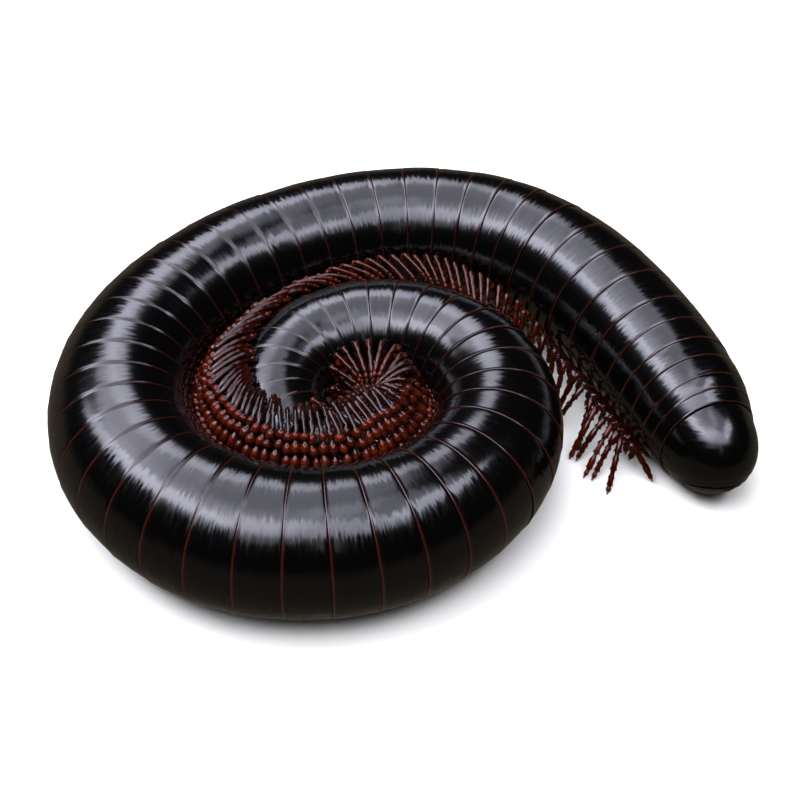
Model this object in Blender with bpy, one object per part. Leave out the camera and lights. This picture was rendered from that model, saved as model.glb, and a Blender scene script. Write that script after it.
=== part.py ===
"""Life-size museum model of a giant black African millipede, coiled up on its side.

The body is a tube of sixty rings that follows one flat spiral. It starts at the
free tail end on the right, runs round the back, the left and the front, and winds
inward once more to the head, which lies hidden at the heart of the coil. Belly and
legs face the middle of the coil. Lengths are metres, +Z is up, the floor is z = 0.
"""

import math

import bmesh
import bpy
import numpy as np
from mathutils import Matrix, Vector

MM = 0.001
NAME = "millipede"

# Driving dimensions of the coil: the place and heading of the tail end of the
# trunk, and how fast the body bends, read every BEND_STEP from tail to head.
TAIL_X = 24.25 * MM
TAIL_Y = -6.35 * MM
TAIL_HEADING = math.radians(110.5)
BEND_STEP = 15.0 * MM
BENDS_PER_MM = (
    0.0029,
    0.0213,
    0.0673,
    0.0345,
    0.0412,
    0.0701,
    0.0644,
    0.0637,
    0.0959,
    0.1134,
    0.1797,
    0.322,
)
COIL_STEP = 0.25 * MM
COIL_END = 155.0 * MM

# The trunk: girth is the radius of the tube, in millimetres, at stations from the tail.
GIRTH_STATIONS = (0.0, 1.5, 4.5, 8.5, 13.5, 41.5, 73.5, 101.5, 126.5, 148.5, 152.5, 159.5)
GIRTH_RADII = (4.2, 4.62, 5.05, 5.28, 5.45, 5.65, 5.9, 5.65, 5.0, 4.1, 3.6, 2.9)
RING_COUNT = 60
PITCH_RINGS = (0, 1, 2, 3, 4, 5, 6, 9, 11, 16, 21, 23, 29, 33, 41, 50, 59)
PITCH_LENGTHS = (1.0, 1.1, 1.75, 1.75, 2.25, 2.5, 3.35, 3.2, 2.65, 2.95, 3.0, 2.5, 2.45, 2.75, 2.6, 2.2, 1.6)
RINGS_PER_LENGTH = 5
RING_SIDES = 18
RIM_RISE = 0.10 * MM
NECK_DROP = 0.15 * MM
RING_SEAM = 0.12 * MM
NODE_GAP = 0.32 * MM
BELLY_FLAT = 0.975

# Roll of the belly line below the horizontal, in degrees, at stations from the tail.
ROLL_STATIONS = (0.0, 6.0, 14.0, 27.0, 40.0)
ROLL_ANGLES = (80.0, 66.0, 48.0, 24.0, 0.0)

# Legs: one pair on each ring here, thick enough to be solid, but none on the last two
# rings, and only every second ring has a pair where the coil is tight.
FIRST_LEG_RING = 2
SPARSE_FROM_RING = 45
LEG_RADII = (0.34 * MM, 0.34 * MM, 0.32 * MM, 0.30 * MM, 0.27 * MM, 0.20 * MM)
LEG_ROOT_ANGLE = math.radians(14.0)
LEG_BASE_ANGLE = math.radians(21.0)
LEG_ROOT_DEPTH = 1.1 * MM
LEG_BASE_OUT = 0.35 * MM
SHIN_SHARES = (0.4, 0.72, 1.0)
LEG_CLEARANCE = 0.38 * MM
LEG_FLOOR = 0.42 * MM
PUSH_ROUNDS = 24

# The lower row, folded down under the middle: shares of the girth below it and distances off the flank.
LOWER_JOINTS = ((0.64, 0.45), (0.90, 0.60))
LOWER_FLANK = 0.95

# How the upper row lies, at stations from the tail (mm): how far the knee stands
# off the flank, its height over the middle, how far the tip lies beyond the knee,
# the height of the tip over the middle, and the lean toward the tail (degrees).
LEG_STATIONS = (0.0, 14.0, 26.0, 37.0, 49.0, 59.0, 69.0, 81.0, 101.0, 114.0, 126.0, 148.0)
KNEE_OUT = (0.7, 0.9, 0.9, 0.5, 0.6, 0.9, 1.0, 1.0, 1.0, 0.6, 0.3, 0.3)
KNEE_HEIGHT = (-1.6, -1.2, 0.2, 2.3, 2.4, 2.5, 2.6, 2.7, 2.7, 3.0, 3.2, 3.0)
TIP_REACH = (2.4, 2.6, 2.2, 1.0, 1.6, 2.6, 4.0, 4.4, 4.3, 2.9, 1.9, 1.0)
TIP_HEIGHT = (-4.6, -4.6, -3.8, -1.2, 1.5, 2.6, 3.2, 3.4, 3.5, 3.2, 3.3, 3.4)
LEG_LEAN = (8.0, 8.0, 10.0, 14.0, 40.0, 56.0, 44.0, 24.0, 6.0, 4.0, 0.0, 0.0)

# Tail dome: half of an egg behind the last ring. A plane that faces back and down cuts off the
# two valves, and the slit between them lies in the animal's own middle plane.
DOME_LENGTH = 4.7 * MM
DOME_RADIUS = 4.15 * MM
DOME_SHARES = (0.068, 0.26, 0.47, 0.66, 0.81, 0.915, 0.98)
VALVE_TILT = math.radians(58.0)
VALVE_CUT = 3.45 * MM
VALVE_SLIT = 0.32 * MM

# Collar plate and head, along the axis that carries the trunk on.
COLLUM_LENGTH = 2.0 * MM
COLLUM_SECTIONS = ((0.0, 1.0), (0.55, 0.97), (1.0, 0.86))
HEAD_TUCK = math.radians(14.0)
HEAD_SIDES = 14

# Head capsule: distance along its axis, half depth and half width. The feelers run
# at (distance along, angle from the forehead round the cheek, distance off the axis).
HEAD_PROFILE = (
    (0.0, 2.6, 2.75),
    (0.8, 3.0, 3.15),
    (1.8, 3.0, 3.25),
    (2.8, 2.6, 2.8),
    (3.6, 1.8, 2.0),
    (4.0, 1.0, 1.2),
)
EYE_RADIUS = 0.62 * MM
EYE_TAPER = 0.55
EYE_SIDES = 10
EYE_RISE = 0.28 * MM
EYE_ALONG = 1.4
EYE_ANGLE = 62.0
EYE_DISTANCE = 3.5
ANTENNA_LEFT = ((3.0, 62.0, 3.3), (3.3, 80.0, 3.7), (2.3, 96.0, 4.1), (0.9, 104.0, 4.3), (-0.6, 108.0, 4.6))
ANTENNA_RIGHT = ((3.0, 62.0, 3.3), (3.9, 95.0, 3.0), (3.5, 124.0, 3.6), (2.3, 139.0, 4.0), (0.9, 140.0, 4.1))
ANTENNA_RADII = (0.26 * MM, 0.28 * MM, 0.28 * MM, 0.28 * MM, 0.24 * MM)
CHIN_STATIONS = (0.7, 1.7, 2.7)
CHIN_DISTANCES = (3.34, 3.34, 3.0)
CHIN_THICKNESS = 0.5
CHIN_TURNS = (-24.0, -12.0, 0.0, 12.0, 24.0)
HEAD_GUARD = 0.9 * MM

SHELL_BLACK = (0.012, 0.012, 0.014, 1.0)
LEG_RED = (0.12, 0.018, 0.008, 1.0)
HEAD_BLACK = (0.02, 0.014, 0.012, 1.0)
EYE_BLACK = (0.004, 0.004, 0.005, 1.0)


def clear_scene():
    for obj in list(bpy.data.objects):
        bpy.data.objects.remove(obj, do_unlink=True)


def new_collection(name):
    collection = bpy.data.collections.new(name)
    bpy.context.scene.collection.children.link(collection)
    return collection


def new_material(name, colour, roughness):
    material = bpy.data.materials.new(name)
    material.use_nodes = True
    shader = material.node_tree.nodes["Principled BSDF"]
    shader.inputs["Base Color"].default_value = colour
    shader.inputs["Roughness"].default_value = roughness
    shader.inputs["Metallic"].default_value = 0.0
    return material


# The spiral. Samples of the middle line of the body, from tail to head.
coil_s = np.arange(0.0, COIL_END, COIL_STEP)
coil_bend = np.interp(coil_s, np.arange(len(BENDS_PER_MM)) * BEND_STEP, BENDS_PER_MM) / MM
coil_heading = TAIL_HEADING + np.concatenate(
    ([0.0], np.cumsum((coil_bend[1:] + coil_bend[:-1]) / 2 * COIL_STEP))
)
coil_mid_heading = (coil_heading[1:] + coil_heading[:-1]) / 2
coil_x = TAIL_X + np.concatenate(([0.0], np.cumsum(np.cos(coil_mid_heading) * COIL_STEP)))
coil_y = TAIL_Y + np.concatenate(([0.0], np.cumsum(np.sin(coil_mid_heading) * COIL_STEP)))


def smooth_table(stations, values, at):
    """Cubic curve through the values, whose slope at each station is that of its neighbours."""
    xs = np.asarray(stations, float)
    ys = np.asarray(values, float)
    slopes = np.gradient(ys, xs)
    at = np.clip(at, xs[0], xs[-1])
    i = np.clip(np.searchsorted(xs, at, side="right") - 1, 0, len(xs) - 2)
    width = xs[i + 1] - xs[i]
    t = (at - xs[i]) / width
    return (
        ys[i] * (1 + 2 * t) * (1 - t) ** 2
        + ys[i + 1] * t**2 * (3 - 2 * t)
        + slopes[i] * width * t * (1 - t) ** 2
        - slopes[i + 1] * width * t**2 * (1 - t)
    )


def girth_at(s):
    return smooth_table(GIRTH_STATIONS, GIRTH_RADII, s / MM) * MM


coil_girth = girth_at(coil_s)
coil_z = (coil_girth - NECK_DROP) * BELLY_FLAT
coil_points = np.stack([coil_x, coil_y, coil_z], axis=1)


def frame_at(s):
    """Middle of the body at s, the way to the head and the way into the coil."""
    heading = float(np.interp(s, coil_s, coil_heading))
    ahead = Vector((math.cos(heading), math.sin(heading), 0.0))
    inward = Vector((-math.sin(heading), math.cos(heading), 0.0))
    middle = Vector([float(np.interp(s, coil_s, axis)) for axis in (coil_x, coil_y, coil_z)])
    if s < 0.0:
        middle += ahead * s
    return middle, ahead, inward


def ring_ends():
    """Distances from the tail end at which the rings end, sixty rings and so sixty-one ends."""
    pitches = np.interp(np.arange(RING_COUNT), PITCH_RINGS, PITCH_LENGTHS) * MM
    return np.concatenate(([0.0], np.cumsum(pitches)))


RING_ENDS = ring_ends()
TRUNK_LENGTH = float(RING_ENDS[-1])

# What legs keep clear of: the tube with its rims, and more round the head for eyes and feelers.
coil_guard = coil_girth + RIM_RISE + np.where(coil_s > TRUNK_LENGTH, HEAD_GUARD, 0.0)


def loop_at(s, radius):
    """Upright polygon round the body at s with one side flat on the floor."""
    middle, _, inward = frame_at(s)
    loop = []
    for k in range(RING_SIDES):
        angle = 2 * math.pi * (k + 0.5) / RING_SIDES - math.pi / 2
        corner = middle + inward * (radius * math.cos(angle))
        corner.z = max(0.0, middle.z + radius * math.sin(angle))
        loop.append(corner)
    return loop


def loft(name, loops):
    """Closed mesh through loops of equally many corners, with a flat end on each."""
    mesh = bmesh.new()
    rows = [[mesh.verts.new(corner) for corner in loop] for loop in loops]
    for row, following in zip(rows, rows[1:]):
        for k in range(len(row)):
            after = (k + 1) % len(row)
            mesh.faces.new((row[k], row[after], following[after], following[k]))
    mesh.faces.new(list(reversed(rows[0])))
    mesh.faces.new(rows[-1])
    bmesh.ops.recalc_face_normals(mesh, faces=mesh.faces)
    data = bpy.data.meshes.new(name)
    mesh.to_mesh(data)
    mesh.free()
    return data


def add_object(name, data, collection, material):
    obj = bpy.data.objects.new(name, data)
    obj.data.materials.clear()
    obj.data.materials.append(material)
    collection.objects.link(obj)
    return obj


# Legs. A route is worked out in the body's own frame and then pushed clear of every turn.
def clear_of_turns(point, need):
    """Moves a point off any turn of the body until it keeps the needed distance."""
    place = np.array(point)
    for _ in range(PUSH_ROUNDS):
        away = place - coil_points
        far = np.linalg.norm(away, axis=1)
        room = far - coil_guard - need
        nearest = int(np.argmin(room))
        if room[nearest] >= 0.0:
            break
        place = place - away[nearest] / far[nearest] * room[nearest]
        place[2] = max(place[2], LEG_FLOOR)
    return Vector(place)


def above_floor(joint):
    return Vector((joint.x, joint.y, max(joint.z, LEG_FLOOR)))


def upper_leg(s):
    """Joints of a leg of the upper row: root, base, knee and the far half over the next turn."""
    middle, ahead, inward = frame_at(s)
    girth = girth_at(s)
    roll = math.radians(np.interp(s / MM, ROLL_STATIONS, ROLL_ANGLES))
    at = s / MM
    knee_out, knee_height, reach, tip_height, lean = (
        float(np.interp(at, LEG_STATIONS, row))
        for row in (KNEE_OUT, KNEE_HEIGHT, TIP_REACH, TIP_HEIGHT, LEG_LEAN)
    )
    up = Vector((0.0, 0.0, 1.0))
    joints = []
    for angle, out in ((LEG_ROOT_ANGLE, -LEG_ROOT_DEPTH), (LEG_BASE_ANGLE, LEG_BASE_OUT)):
        turned = angle - roll
        joints.append(middle + (inward * math.cos(turned) + up * math.sin(turned)) * (girth + out))
    knee = middle + inward * (girth + knee_out * MM) + up * (knee_height * MM)
    side = inward * math.cos(math.radians(lean)) - ahead * math.sin(math.radians(lean))
    drop = (tip_height - knee_height) * MM
    joints.append(knee)
    for share in SHIN_SHARES:
        joints.append(knee + side * (reach * MM * share) + up * (drop * share))
    return joints


def lower_leg(s):
    """Joints of a leg of the lower row, folded down into the valley between two turns."""
    middle, ahead, inward = frame_at(s)
    girth = girth_at(s)
    roll = math.radians(np.interp(s / MM, ROLL_STATIONS, ROLL_ANGLES))
    up = Vector((0.0, 0.0, 1.0))
    joints = []
    for angle, out in ((LEG_ROOT_ANGLE, -LEG_ROOT_DEPTH), (LEG_BASE_ANGLE, LEG_BASE_OUT)):
        turned = -angle - roll
        joints.append(middle + (inward * math.cos(turned) + up * math.sin(turned)) * (girth + out))
    for share, out in LOWER_JOINTS:
        joints.append(middle + inward * (girth * LOWER_FLANK + out * MM) - up * (girth * share))
    return joints


def limb_object(name, joints, radii, collection, material):
    """A leg or feeler as a square bar through its joints, made a closed mesh."""
    curve = bpy.data.curves.new(name, "CURVE")
    curve.dimensions = "3D"
    curve.bevel_depth = 1.0
    curve.bevel_resolution = 0
    curve.use_fill_caps = True
    spline = curve.splines.new("POLY")
    spline.points.add(len(joints) - 1)
    for point, joint, radius in zip(spline.points, joints, radii):
        point.co = (*joint, 1.0)
        point.radius = radius
    drawn = bpy.data.objects.new(name + "_line", curve)
    collection.objects.link(drawn)
    data = bpy.data.meshes.new_from_object(drawn.evaluated_get(bpy.context.evaluated_depsgraph_get()))
    bpy.data.objects.remove(drawn, do_unlink=True)
    mesh = bmesh.new()
    mesh.from_mesh(data)
    bmesh.ops.remove_doubles(mesh, verts=mesh.verts, dist=0.001 * MM)
    bmesh.ops.recalc_face_normals(mesh, faces=mesh.faces)
    mesh.to_mesh(data)
    mesh.free()
    return add_object(name, data, collection, material)


def join_legs(body, legs):
    """Boolean union of a body length with the legs that grow from it."""
    union = body.modifiers.new("legs", "BOOLEAN")
    union.operation = "UNION"
    union.solver = "EXACT"
    union.operand_type = "COLLECTION"
    union.collection = legs
    data = bpy.data.meshes.new_from_object(body.evaluated_get(bpy.context.evaluated_depsgraph_get()))
    body.modifiers.clear()
    body.data = data
    for leg in list(legs.objects):
        bpy.data.objects.remove(leg, do_unlink=True)


def leg_pairs(first, last):
    """Places of the leg pairs on the rings of one body length."""
    return [
        (RING_ENDS[ring] + RING_ENDS[ring + 1]) / 2
        for ring in range(max(first, FIRST_LEG_RING), last)
        if ring < SPARSE_FROM_RING or ring % 2 == 1
    ]


def build_trunk(collection, legs, shell):
    lengths = RING_COUNT // RINGS_PER_LENGTH
    for number in range(lengths):
        first = number * RINGS_PER_LENGTH
        last = first + RINGS_PER_LENGTH
        name = f"body_{lengths - number:02d}"
        loops = []
        for ring in range(first, last):
            rear = RING_ENDS[ring] + (NODE_GAP / 2 if ring == first else RING_SEAM)
            front = RING_ENDS[ring + 1] - (NODE_GAP / 2 if ring == last - 1 else 0.0)
            loops.append(loop_at(rear, girth_at(rear) + RIM_RISE))
            loops.append(loop_at(front, girth_at(front) - NECK_DROP))
        body = add_object(name, loft(name, loops), collection, shell)
        for pair, s in enumerate(leg_pairs(first, last)):
            for row, route in (("upper", upper_leg), ("lower", lower_leg)):
                joints = route(s)
                need = LEG_CLEARANCE + LEG_RADII[2]
                joints[2:] = [clear_of_turns(joint, need) for joint in joints[2:]]
                joints = [above_floor(joint) for joint in joints]
                limb_object(f"leg_{number}_{pair}_{row}", joints, LEG_RADII, legs, shell)
        join_legs(body, legs)


def keep_behind(obj, point, normal):
    """Cuts a solid by a plane, keeps what lies against the normal and closes the cut flat."""
    mesh = bmesh.new()
    mesh.from_mesh(obj.data)
    everything = mesh.verts[:] + mesh.edges[:] + mesh.faces[:]
    bmesh.ops.bisect_plane(mesh, geom=everything, plane_co=point, plane_no=normal, clear_outer=True)
    bmesh.ops.holes_fill(mesh, edges=[edge for edge in mesh.edges if edge.is_boundary], sides=0)
    bmesh.ops.recalc_face_normals(mesh, faces=mesh.faces)
    mesh.to_mesh(obj.data)
    mesh.free()


def build_tail(collection, shell):
    """Last tergite as half an egg, and the two valves that a slanting plane cuts off it."""
    middle, ahead, inward = frame_at(0.0)
    roll = math.radians(ROLL_ANGLES[0])
    belly = inward * math.cos(roll) - Vector((0.0, 0.0, math.sin(roll)))
    flank = inward * math.sin(roll) + Vector((0.0, 0.0, math.cos(roll)))
    facing = belly * math.sin(VALVE_TILT) - ahead * math.cos(VALVE_TILT)
    for name, side in (("telson", 0.0), ("anal_valve_left", 1.0), ("anal_valve_right", -1.0)):
        loops = [
            loop_at(-DOME_LENGTH * share, DOME_RADIUS * math.sqrt(1.0 - share**2))
            for share in reversed(DOME_SHARES)
        ]
        dome = add_object(name, loft(name, loops), collection, shell)
        if side == 0.0:
            keep_behind(dome, middle + facing * (VALVE_CUT - NODE_GAP / 2), facing)
        else:
            keep_behind(dome, middle + facing * (VALVE_CUT + NODE_GAP / 2), -facing)
            keep_behind(dome, middle + flank * (side * VALVE_SLIT / 2), flank * -side)


def build_head(collection, shell, head, eye, leg):
    """Collar plate, head capsule, eye patches, chin plate and feelers at the heart of the coil."""
    start = TRUNK_LENGTH + NODE_GAP / 2
    loops = []
    for share, taper in COLLUM_SECTIONS:
        s = start + COLLUM_LENGTH * share
        loops.append(loop_at(s, girth_at(s) * taper))
    add_object("collum", loft("collum", loops), collection, shell)

    neck, ahead, inward = frame_at(start + COLLUM_LENGTH + NODE_GAP)
    nose = ahead * math.cos(HEAD_TUCK) + inward * math.sin(HEAD_TUCK)
    crown = -inward

    def head_point(along, angle, depth, width):
        """Place on a section of the head, the angle measured from the crown over the left cheek."""
        turned = math.radians(angle)
        place = neck + nose * (along * MM) + crown * (depth * MM * math.cos(turned))
        place.z = max(0.0, neck.z + width * MM * math.sin(turned))
        return place

    loops = [
        [head_point(along, 360.0 * (k + 0.5) / HEAD_SIDES, depth, width) for k in range(HEAD_SIDES)]
        for along, depth, width in HEAD_PROFILE
    ]
    add_object("head", loft("head", loops), collection, head)

    loops = []
    for along, distance in zip(CHIN_STATIONS, CHIN_DISTANCES):
        near = [head_point(along, 180.0 + turn, distance, distance) for turn in CHIN_TURNS]
        outer = distance + CHIN_THICKNESS
        far = [head_point(along, 180.0 + turn, outer, outer) for turn in reversed(CHIN_TURNS)]
        loops.append(near + far)
    add_object("gnathochilarium", loft("gnathochilarium", loops), collection, head)

    for side, sign, route in (("left", 1.0, ANTENNA_LEFT), ("right", -1.0, ANTENNA_RIGHT)):
        middle = neck + nose * (EYE_ALONG * MM)
        facing = head_point(EYE_ALONG, sign * EYE_ANGLE, 1.0, 1.0) - middle
        facing.normalize()
        mesh = bmesh.new()
        bmesh.ops.create_cone(
            mesh,
            cap_ends=True,
            segments=EYE_SIDES,
            radius1=EYE_RADIUS,
            radius2=EYE_RADIUS * EYE_TAPER,
            depth=EYE_RISE,
            matrix=Matrix.Translation(middle + facing * (EYE_DISTANCE * MM + EYE_RISE / 2))
            @ facing.to_track_quat("Z", "Y").to_matrix().to_4x4(),
        )
        data = bpy.data.meshes.new("eye_" + side)
        mesh.to_mesh(data)
        mesh.free()
        add_object("eye_" + side, data, collection, eye)

        joints = [above_floor(head_point(along, sign * angle, off, off)) for along, angle, off in route]
        limb_object("antenna_" + side, joints, ANTENNA_RADII, collection, leg)


def main():
    clear_scene()
    collection = new_collection(NAME)
    legs = new_collection("leg_pieces")
    shell = new_material("black_shell", SHELL_BLACK, 0.16)
    leg = new_material("mahogany_leg", LEG_RED, 0.3)
    head = new_material("head_shell", HEAD_BLACK, 0.3)
    eye = new_material("eye_black", EYE_BLACK, 0.1)
    build_trunk(collection, legs, shell)
    build_tail(collection, shell)
    build_head(collection, shell, head, eye, leg)
    bpy.data.collections.remove(legs)


main()
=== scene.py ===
"""Looks of a life-size giant black African millipede, coiled up on its side."""

import math

import bpy
import numpy as np
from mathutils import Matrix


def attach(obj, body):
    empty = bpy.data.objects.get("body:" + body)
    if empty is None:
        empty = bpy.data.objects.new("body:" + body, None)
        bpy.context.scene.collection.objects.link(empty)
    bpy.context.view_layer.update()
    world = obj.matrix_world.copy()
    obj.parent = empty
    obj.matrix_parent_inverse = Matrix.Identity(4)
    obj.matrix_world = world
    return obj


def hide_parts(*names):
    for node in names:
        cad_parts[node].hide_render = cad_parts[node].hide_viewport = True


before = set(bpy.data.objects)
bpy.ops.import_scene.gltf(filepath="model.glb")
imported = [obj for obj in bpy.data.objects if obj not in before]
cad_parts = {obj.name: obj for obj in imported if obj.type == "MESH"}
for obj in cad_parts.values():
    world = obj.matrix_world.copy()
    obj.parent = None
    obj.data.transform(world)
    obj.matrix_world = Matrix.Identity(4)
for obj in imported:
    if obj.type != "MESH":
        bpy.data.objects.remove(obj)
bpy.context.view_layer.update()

# The trunk rings. Each is a rigid hoop of black, polished cuticle that grows round the body
# and slides a little way under the hoop in front of it. Its free rear edge is thin and dries
# to a red-brown hairline. The hoops follow one flat spiral, from the tail to the head.
MM = 0.001
TAIL = (24.25 * MM, -6.35 * MM)
TAIL_HEADING = math.radians(110.5)
BEND_STEP = 15.0 * MM
BENDS_PER_MM = (
    0.0029, 0.0213, 0.0673, 0.0345, 0.0412, 0.0701, 0.0644, 0.0637, 0.0959, 0.1134, 0.1797, 0.322
)
COIL_STEP = 0.25 * MM
COIL_END = 155.0 * MM
GIRTH_STATIONS = (0.0, 1.5, 4.5, 8.5, 13.5, 41.5, 73.5, 101.5, 126.5, 148.5, 152.5, 159.5)
GIRTH_RADII = (4.2, 4.62, 5.05, 5.28, 5.45, 5.65, 5.9, 5.65, 5.0, 4.1, 3.6, 2.9)
RING_COUNT = 60
PITCH_RINGS = (0, 1, 2, 3, 4, 5, 6, 9, 11, 16, 21, 23, 29, 33, 41, 50, 59)
PITCH_LENGTHS = (1.0, 1.1, 1.75, 1.75, 2.25, 2.5, 3.35, 3.2, 2.65, 2.95, 3.0, 2.5, 2.45, 2.75, 2.6, 2.2, 1.6)
RINGS_PER_LENGTH = 5
ROLL_STATIONS = (0.0, 6.0, 14.0, 27.0, 40.0)
ROLL_ANGLES = (80.0, 66.0, 48.0, 24.0, 0.0)
SKIN_SHARE = 0.988
RING_COLUMNS = 132
# Profile of one hoop, from its tucked front lip over the outside to the rear edge and back inside:
# share of the hoop's length ahead of the rear edge, extra millimetres, height over the skin,
# how red-brown the spot is and the least height over the floor.
RING_PROFILE = (
    (1.00, 0.26, -0.25, 0.0, 0.05),
    (1.00, 0.10, -0.12, 0.0, 0.02),
    (1.00, 0.00, -0.062, 0.0, 0.0),
    (0.985, 0.00, -0.036, 0.0, 0.0),
    (0.962, 0.00, -0.018, 0.0, 0.0),
    (0.93, 0.00, -0.011, 0.0, 0.0),
    (0.86, 0.00, -0.007, 0.0, 0.0),
    (0.74, 0.00, -0.004, 0.0, 0.0),
    (0.60, 0.00, -0.003, 0.0, 0.0),
    (0.46, 0.00, 0.001, 0.0, 0.0),
    (0.34, 0.00, 0.003, 0.0, 0.0),
    (0.22, 0.00, 0.004, 0.0, 0.0),
    (0.13, 0.00, 0.002, 0.0, 0.0),
    (0.00, 0.15, 0.000, 0.1, 0.0),
    (0.00, 0.12, 0.010, 0.9, 0.0),
    (0.00, 0.075, 0.028, 1.0, 0.0),
    (0.00, 0.025, 0.018, 1.0, 0.0),
    (0.00, 0.00, -0.010, 1.0, 0.0),
    (0.00, 0.00, -0.040, 0.7, 0.02),
    (0.00, 0.06, -0.075, 0.2, 0.04),
    (0.00, 0.50, -0.34, 0.0, 0.10),
    (0.45, 0.00, -0.60, 0.0, 0.12),
    (1.00, 0.00, -0.60, 0.0, 0.12),
    (1.00, 0.24, -0.50, 0.0, 0.10),
)
# Unevenness of the hoops in millimetres, and their greatest tilt in radians.
EDGE_WAVE, OVAL_WAVE, LOBE_WAVE, RADIUS_SPREAD, MOST_TILT = 0.022, 0.022, 0.017, 0.012, 0.014
STRIP_DEPTH, STRIP_HALF_ANGLE = 0.22, math.radians(13.0)

coil_s = np.arange(0.0, COIL_END, COIL_STEP)
coil_bend = np.interp(coil_s, np.arange(len(BENDS_PER_MM)) * BEND_STEP, BENDS_PER_MM) / MM
coil_heading = TAIL_HEADING + np.append(0.0, np.cumsum((coil_bend[1:] + coil_bend[:-1]) / 2 * COIL_STEP))
coil_mid = (coil_heading[1:] + coil_heading[:-1]) / 2
coil_x = TAIL[0] + np.append(0.0, np.cumsum(np.cos(coil_mid) * COIL_STEP))
coil_y = TAIL[1] + np.append(0.0, np.cumsum(np.sin(coil_mid) * COIL_STEP))


def smooth_table(stations, values, at):
    """Cubic curve through the values: in each span the Hermite blend of both ends and their slopes."""
    xs = np.asarray(stations, float)
    ys = np.asarray(values, float)
    slopes = np.gradient(ys, xs)
    at = np.clip(at, xs[0], xs[-1])
    i = np.clip(np.searchsorted(xs, at, side="right") - 1, 0, len(xs) - 2)
    width = xs[i + 1] - xs[i]
    t = (at - xs[i]) / width
    ends = ys[i] * (1 + 2 * t) * (1 - t) ** 2 + ys[i + 1] * t**2 * (3 - 2 * t)
    return ends + slopes[i] * width * t * (1 - t) ** 2 - slopes[i + 1] * width * t**2 * (1 - t)


def girth(s):
    """Radius of the body at s metres from the tail ring, read off the girth table."""
    return smooth_table(GIRTH_STATIONS, GIRTH_RADII, s / MM) * MM


coil_girth = girth(coil_s)
coil_z = (coil_girth - 0.15 * MM) * 0.975
coil_points = np.stack([coil_x, coil_y, coil_z], axis=1)


def body_frame(s):
    """Middle of the body at s, the way to the head and the way into the coil, one row for each s.
    The heading is the sum of the bends so far, and the middle is the sum of steps along it."""
    heading = np.interp(s, coil_s, coil_heading)
    flat = np.zeros_like(heading)
    ahead = np.stack([np.cos(heading), np.sin(heading), flat], axis=-1)
    inward = np.stack([-np.sin(heading), np.cos(heading), flat], axis=-1)
    middle = np.stack([np.interp(s, coil_s, axis) for axis in (coil_x, coil_y, coil_z)], axis=-1)
    return middle + ahead * np.minimum(s, 0.0)[..., None], ahead, inward


def belly_roll(s):
    """How far the belly line is rolled below the horizontal, in radians."""
    return np.radians(np.interp(s / MM, ROLL_STATIONS, ROLL_ANGLES))


def piece_from_grids(name, grids, material, ring_rows=False, marks=None, spread=None):
    """Mesh of one or more grids of points, indexed (grid, row, column, xyz). Every row joins the next
    and the last column joins the first. The rows close on themselves too with ring_rows, and
    otherwise a point in the middle of the first and last row caps them. marks holds one number a
    point, and spread holds the flat pattern place (u, v) of every grid corner, one row and column more."""
    count, rows, columns = grids.shape[:3]
    steps = rows if ring_rows else rows - 1
    start = (np.arange(count) * rows * columns)[:, None, None]
    row, column = np.arange(steps)[None, :, None], np.arange(columns)[None, None, :]
    row_after, column_after = (row + 1) % rows * columns, (column + 1) % columns
    corners = (
        start + row * columns + column,
        start + row_after + column,
        start + row_after + column_after,
        start + row * columns + column_after,
    )
    quads = np.stack(corners, axis=-1).reshape(-1, 4)
    points = grids.reshape(-1, 3)
    faces = quads.tolist()
    if not ring_rows:
        tips = np.stack([grids[:, 0].mean(axis=1), grids[:, -1].mean(axis=1)], axis=1).reshape(-1, 3)
        tip = len(points) + 2 * np.arange(count)[:, None]
        first, after = start[:, 0] + column[0], start[:, 0] + column_after[0]
        last = (rows - 1) * columns
        rear = np.stack([first, after, tip + 0 * first], axis=-1).reshape(-1, 3)
        front = np.stack([after + last, first + last, tip + 1 + 0 * first], axis=-1).reshape(-1, 3)
        points = np.concatenate([points, tips])
        faces += rear.tolist() + front.tolist()
    mesh = bpy.data.meshes.new(name)
    mesh.from_pydata(points, [], faces)
    mesh.polygons.foreach_set("use_smooth", np.ones(len(faces), bool))
    if marks is not None:
        values = marks.reshape(-1)
        if not ring_rows:
            ends = np.stack([marks[:, 0].mean(axis=1), marks[:, -1].mean(axis=1)], axis=1)
            values = np.append(values, ends.reshape(-1))
        mesh.attributes.new("mark", "FLOAT", "POINT").data.foreach_set("value", values)
    if spread is not None:
        around = (spread[:, :-1, :-1], spread[:, 1:, :-1], spread[:, 1:, 1:], spread[:, :-1, 1:])
        flat = np.stack(around, axis=-2).reshape(-1, 2)
        rest = np.zeros((len(mesh.loops) - len(flat), 2))
        mesh.uv_layers.new(name="skin").uv.foreach_set("vector", np.concatenate([flat, rest]).ravel())
    mesh.materials.append(material)
    piece = bpy.data.objects.new(name, mesh)
    bpy.context.scene.collection.objects.link(piece)
    return piece


def node_maker(tree):
    """Short way to add a node to the tree, with its settings, its values and its links."""

    def node(kind, values=(), **settings):
        made = tree.nodes.new(kind)
        for key, value in settings.items():
            setattr(made, key, value)
        for key, value in dict(values).items():
            if isinstance(value, bpy.types.NodeSocket):
                tree.links.new(value, made.inputs[key])
            else:
                made.inputs[key].default_value = value
        return made

    return node


def new_finish(name, roughness):
    """Fresh material, with short ways to add a node and to join one to its shader."""
    material = bpy.data.materials.new(name)
    material.use_nodes = True
    tree = material.node_tree
    shader = tree.nodes["Principled BSDF"]
    shader.inputs["Roughness"].default_value = roughness

    def join(source, socket):
        tree.links.new(source, shader.inputs[socket])

    return material, node_maker(tree), join


def maths(node, operation, *values):
    """What a maths node makes of the values."""
    return node("ShaderNodeMath", dict(enumerate(values)), operation=operation).outputs[0]


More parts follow.
